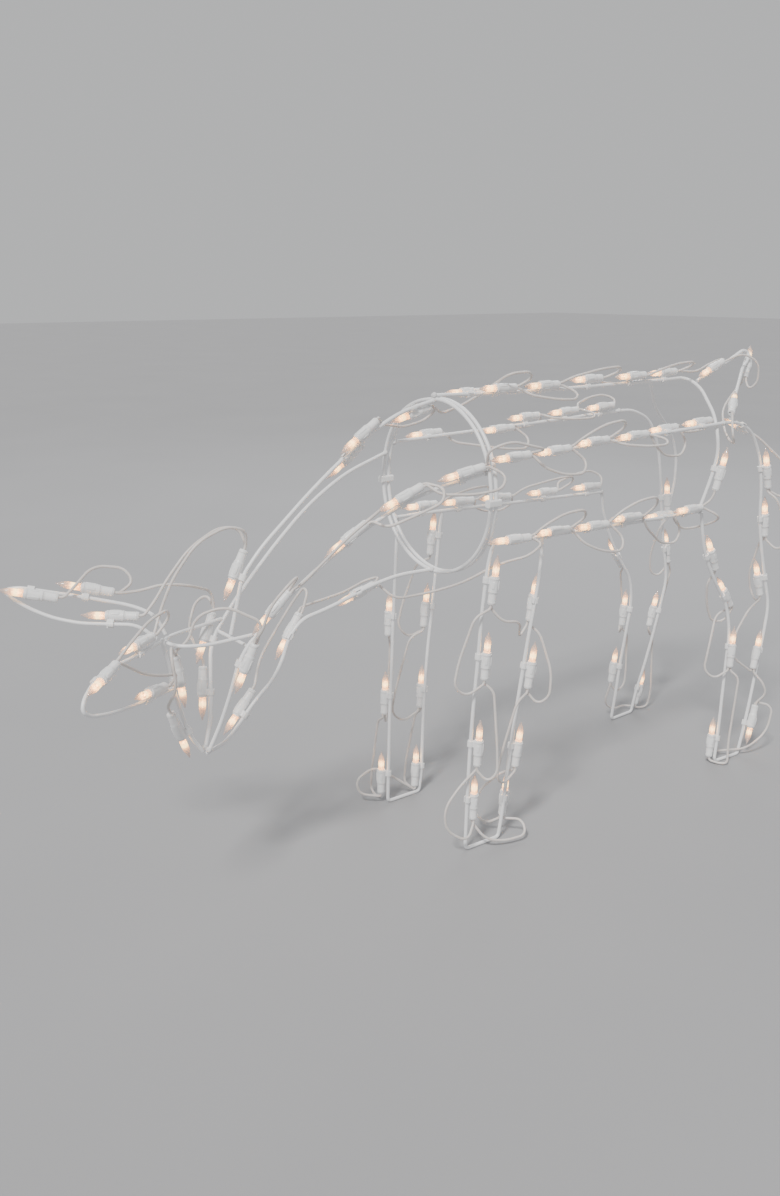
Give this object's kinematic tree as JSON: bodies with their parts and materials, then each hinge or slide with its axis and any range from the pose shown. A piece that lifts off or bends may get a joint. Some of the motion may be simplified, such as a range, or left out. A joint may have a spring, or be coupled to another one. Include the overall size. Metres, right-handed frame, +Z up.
{
  "type": "lighted deer yard figure",
  "caption": "Grazing deer yard figure of bent white rods, strung with clip-on mini lamps, lampholders and looping leads.",
  "frame": {"origin": "on the ground, under the middle of the whole figure's bounding box", "axes": "+Z up; the deer faces -Y; its own left side is +X"},
  "size_m": [0.1828, 0.7701, 0.4162],
  "materials": {
    "frame": "satin",
    "holder": "glossy",
    "glass": "glossy",
    "lead": "satin",
    "filament": "satin",
    "brass": "satin"
  },
  "bodies": {
    "root": {"spine_rail": "frame", "hip_hoop_right": "frame", "mid_rail_left": "frame", "mid_rail_right": "frame", "lower_rail_left": "frame", "lower_rail_right": "frame", "hind_leg_back_left": "frame", "hind_leg_back_right": "frame", "hind_leg_front_left": "frame", "hind_leg_front_right": "frame", "front_leg_left": "frame", "front_leg_right": "frame", "body_hoop": "frame", "neck_hoop": "frame", "tail_loop": "frame", "neck_crest": "frame", "neck_side_left": "frame", "neck_side_right": "frame", "forehead_rod": "frame", "throat_rod": "frame", "brow_arch": "frame", "ear_left": "frame", "ear_right": "frame", "brow_bar": "frame", "hoop_couplers": "holder", "front_leg_left_lampholders": "holder", "front_leg_left_bulbs": "glass", "front_leg_left_leads": "lead", "front_leg_right_lampholders": "holder", "front_leg_right_bulbs": "glass", "front_leg_right_leads": "lead", "hind_leg_left_lampholders": "holder", "hind_leg_left_bulbs": "glass", "hind_leg_left_leads": "lead", "hind_leg_right_lampholders": "holder", "hind_leg_right_bulbs": "glass", "hind_leg_right_leads": "lead", "back_and_tail_lampholders": "holder", "back_and_tail_bulbs": "glass", "back_and_tail_leads": "lead", "left_side_lampholders": "holder", "left_side_bulbs": "glass", "left_side_leads": "lead", "right_side_lampholders": "holder", "right_side_bulbs": "glass", "right_side_leads": "lead", "neck_lampholders": "holder", "neck_bulbs": "glass", "neck_leads": "lead", "head_lampholders": "holder", "head_bulbs": "glass", "head_leads": "lead", "bulb_bases": "holder", "filaments": "filament", "socket_contacts": "brass"}
  },
  "joints": []
}
